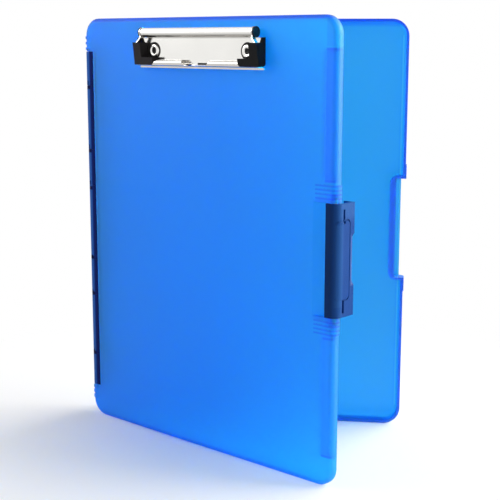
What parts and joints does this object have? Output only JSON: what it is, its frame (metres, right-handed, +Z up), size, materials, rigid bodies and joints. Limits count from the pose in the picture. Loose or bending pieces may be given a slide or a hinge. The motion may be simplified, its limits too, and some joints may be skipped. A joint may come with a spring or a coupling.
{
  "type": "storage clipboard box",
  "caption": "Translucent two-half storage case that opens like a book, with a sprung paper clip on the lid, a knuckle hinge and a rocking latch.",
  "frame": {"origin": "middle of the tray's bottom wall, on which the case stands open", "axes": "+X across the tray from the hinge to the latch side, +Y towards the tray's back, +Z up"},
  "size_m": [0.251, 0.1553, 0.318],
  "materials": {
    "translucent_plastic": "frosted translucent blue polypropylene",
    "navy_plastic": "satin navy polypropylene",
    "chrome_plate": "bright nickel-chrome plated sheet steel",
    "steel": "plain drawn steel wire and rod",
    "black_rubber": "matte black rubber"
  },
  "bodies": {
    "tray": {"tray_shell": "translucent_plastic", "hinge_leaf_tray": "navy_plastic", "hinge_pin": "steel"},
    "lid": {"lid_shell": "translucent_plastic", "hinge_leaf_lid": "navy_plastic", "latch_pin": "steel", "clip_base": "chrome_plate", "clip_rod": "steel", "clip_spring_left": "steel", "clip_spring_right": "steel", "clip_rivet_left": "chrome_plate", "clip_rivet_right": "chrome_plate", "clip_washer_left": "steel", "clip_washer_right": "steel"},
    "latch": {"latch_clip": "navy_plastic"},
    "jaw": {"clip_jaw": "chrome_plate", "grip_left": "black_rubber", "grip_right": "black_rubber"}
  },
  "joints": [
    {"name": "lid_hinge", "type": "hinge", "parent": "tray", "child": "lid", "pos_m": [-0.12435, -0.004, 0.157], "axis": [0, 0, -1], "range_deg": [-33.8, 146.2]},
    {"name": "latch_rock", "type": "hinge", "parent": "lid", "child": "latch", "pos_m": [0.07797, -0.14353, 0.158], "axis": [0, 0, -1], "range_deg": [0, 14], "stiffness_Nm_per_rad": 0.05},
    {"name": "jaw_lift", "type": "hinge", "parent": "lid", "child": "jaw", "pos_m": [-0.02525, -0.0831, 0.3072], "axis": [-0.831, 0.5563, 0], "range_deg": [0, 45], "stiffness_Nm_per_rad": 0.2, "springref_deg": -20.05}
  ]
}
